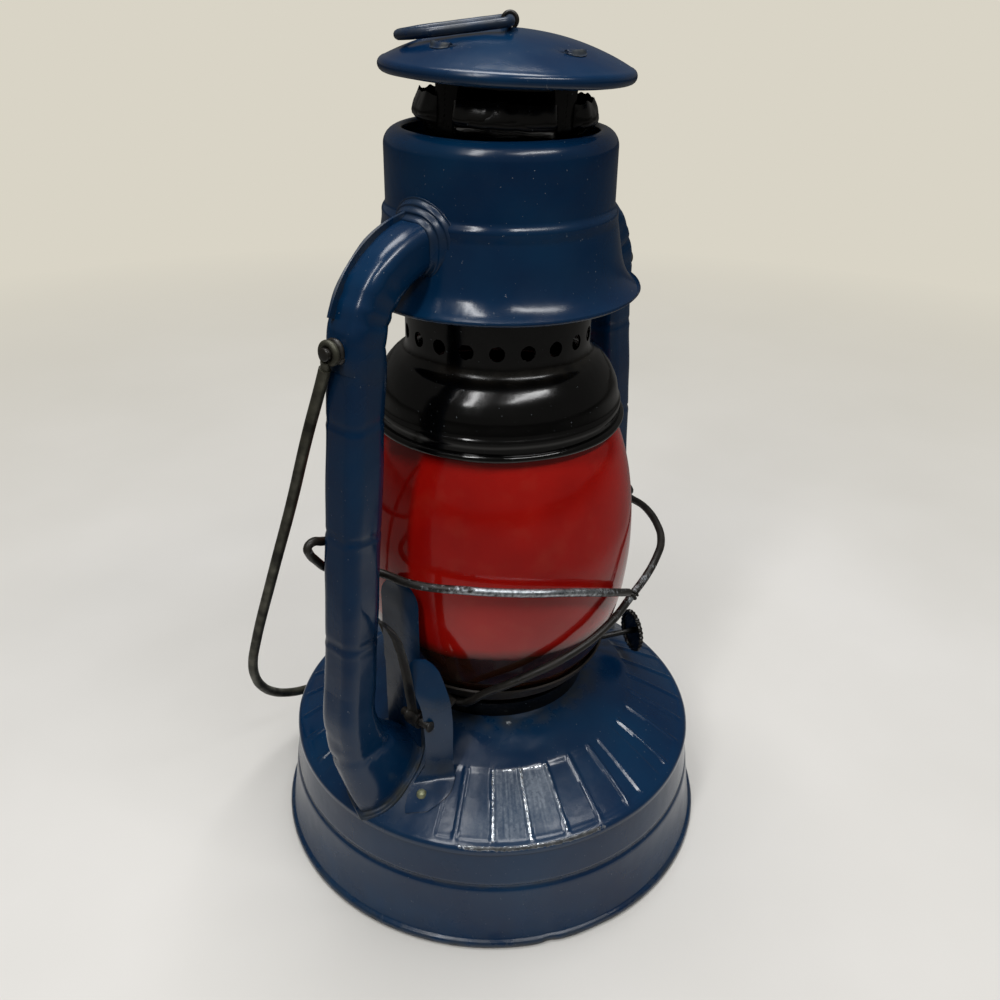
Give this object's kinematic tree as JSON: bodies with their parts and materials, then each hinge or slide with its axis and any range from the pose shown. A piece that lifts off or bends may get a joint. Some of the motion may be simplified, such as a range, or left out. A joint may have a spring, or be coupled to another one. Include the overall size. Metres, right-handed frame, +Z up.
{
  "type": "railroad lantern",
  "caption": "Tubular kerosene lantern with a ribbed fount, two side tubes, wire-guarded red globe on a lift lever, vented bell and cap, bail and lift ring.",
  "frame": {"origin": "centre of the flat under the rolled bottom rim, on the table", "axes": "+Z up along the burner and chimney; the side tubes stand on the X axis, the lever beside the tube at -X; the bail hangs back to +Y"},
  "size_m": [0.1657, 0.1657, 0.2883],
  "materials": {
    "blue_enamel": "glossy brushed-on dark blue paint, worn to bright tin on ribs and edges",
    "black_enamel": "glossy thick black paint",
    "red_glass": "globe with thick glossy red coat",
    "dark_wire": "black painted steel wire, chipped to bare steel",
    "bail_wire": "dull grey-black wire",
    "dark_plate": "sooty black sheet",
    "bare_rivet": "bare rivet head",
    "pin_steel": "dull steel",
    "burner_brass": "aged brass",
    "wick_cotton": "woven cotton wick",
    "cork": "pressed cork washer"
  },
  "bodies": {
    "frame": {"fount_skirt": "blue_enamel", "fount_bottom": "blue_enamel", "fount_dome": "blue_enamel", "burner_gallery": "black_enamel", "filler_neck": "blue_enamel", "left_tube": "blue_enamel", "right_tube": "blue_enamel", "left_tube_foot": "blue_enamel", "right_tube_foot": "blue_enamel", "left_tube_collar": "blue_enamel", "right_tube_collar": "blue_enamel", "canopy": "blue_enamel", "left_ear": "dark_wire", "right_ear": "dark_wire", "guide_plate": "blue_enamel", "lever_bracket": "blue_enamel", "bracket_rivet": "bare_rivet", "lever_pin": "pin_steel", "burner_body": "burner_brass", "burner_cone": "burner_brass", "wick_tube": "burner_brass"},
    "carriage": {"globe_plate": "dark_plate", "globe": "red_glass", "guard_belly_wire": "dark_wire", "guard_loop_wire": "dark_wire", "guard_clip": "dark_wire"},
    "chimney": {"bell": "black_enamel", "chimney_tube": "black_enamel", "crown": "black_enamel", "cap": "blue_enamel", "cap_tabs": "blue_enamel", "ring_eye": "black_enamel"},
    "lift_ring": {"lift_ring": "blue_enamel"},
    "bail": {"bail": "bail_wire"},
    "wick_spindle": {"wick_knob": "black_enamel", "wick_shaft": "dark_wire", "wick_wheels": "pin_steel"},
    "wick": {"wick": "wick_cotton"},
    "gasket": {"filler_gasket": "cork"},
    "filler_cap": {"filler_cap": "blue_enamel"},
    "lift_lever": {"lift_lever": "dark_wire"}
  },
  "joints": [
    {"name": "lever_pivot", "type": "hinge", "parent": "frame", "child": "lift_lever", "pos_m": [-0.0555, -0.01095, 0.0761], "axis": [0, -1, 0], "range_deg": [0, 40.5]},
    {"name": "globe_lift", "type": "slide", "parent": "frame", "child": "carriage", "axis": [0, 0, 1], "range_m": [0, 0.012]},
    {"name": "chimney_lift", "type": "slide", "parent": "carriage", "child": "chimney", "axis": [0, 0, 1], "range_m": [0, 0.012]},
    {"name": "ring_hinge", "type": "hinge", "parent": "chimney", "child": "lift_ring", "pos_m": [0.00127, -0.00152, 0.28536], "axis": [0.766, 0.6428, 0], "range_deg": [0, 160]},
    {"name": "bail_hinge", "type": "hinge", "parent": "frame", "child": "bail", "pos_m": [0, 0, 0.206], "axis": [1, 0, 0], "range_deg": [0, 310]},
    {"name": "wick_turn", "type": "hinge", "parent": "frame", "child": "wick_spindle", "pos_m": [-0.00237, -0.00411, 0.0657], "axis": [0.866, -0.5, 0], "range_deg": [-110, 110]},
    {"name": "wick_travel", "type": "slide", "parent": "frame", "child": "wick", "axis": [0, 0, 1], "range_m": [-0.0061, 0.0061]},
    {"name": "gasket_rise", "type": "slide", "parent": "frame", "child": "gasket", "axis": [0, 0, 1], "range_m": [0, 0.006]},
    {"name": "filler_turn", "type": "hinge", "parent": "gasket", "child": "filler_cap", "pos_m": [0.03818, 0.03818, 0.0665], "axis": [0, 0, 1], "range_deg": [0, 540.1]}
  ],
  "couplings": [
    {"joint": "lever_pivot", "follows": "globe_lift", "rad_per_m": 58.817},
    {"joint": "wick_turn", "follows": "wick_travel", "rad_per_m": 312.5},
    {"joint": "filler_turn", "follows": "gasket_rise", "rad_per_m": 1570.8}
  ]
}
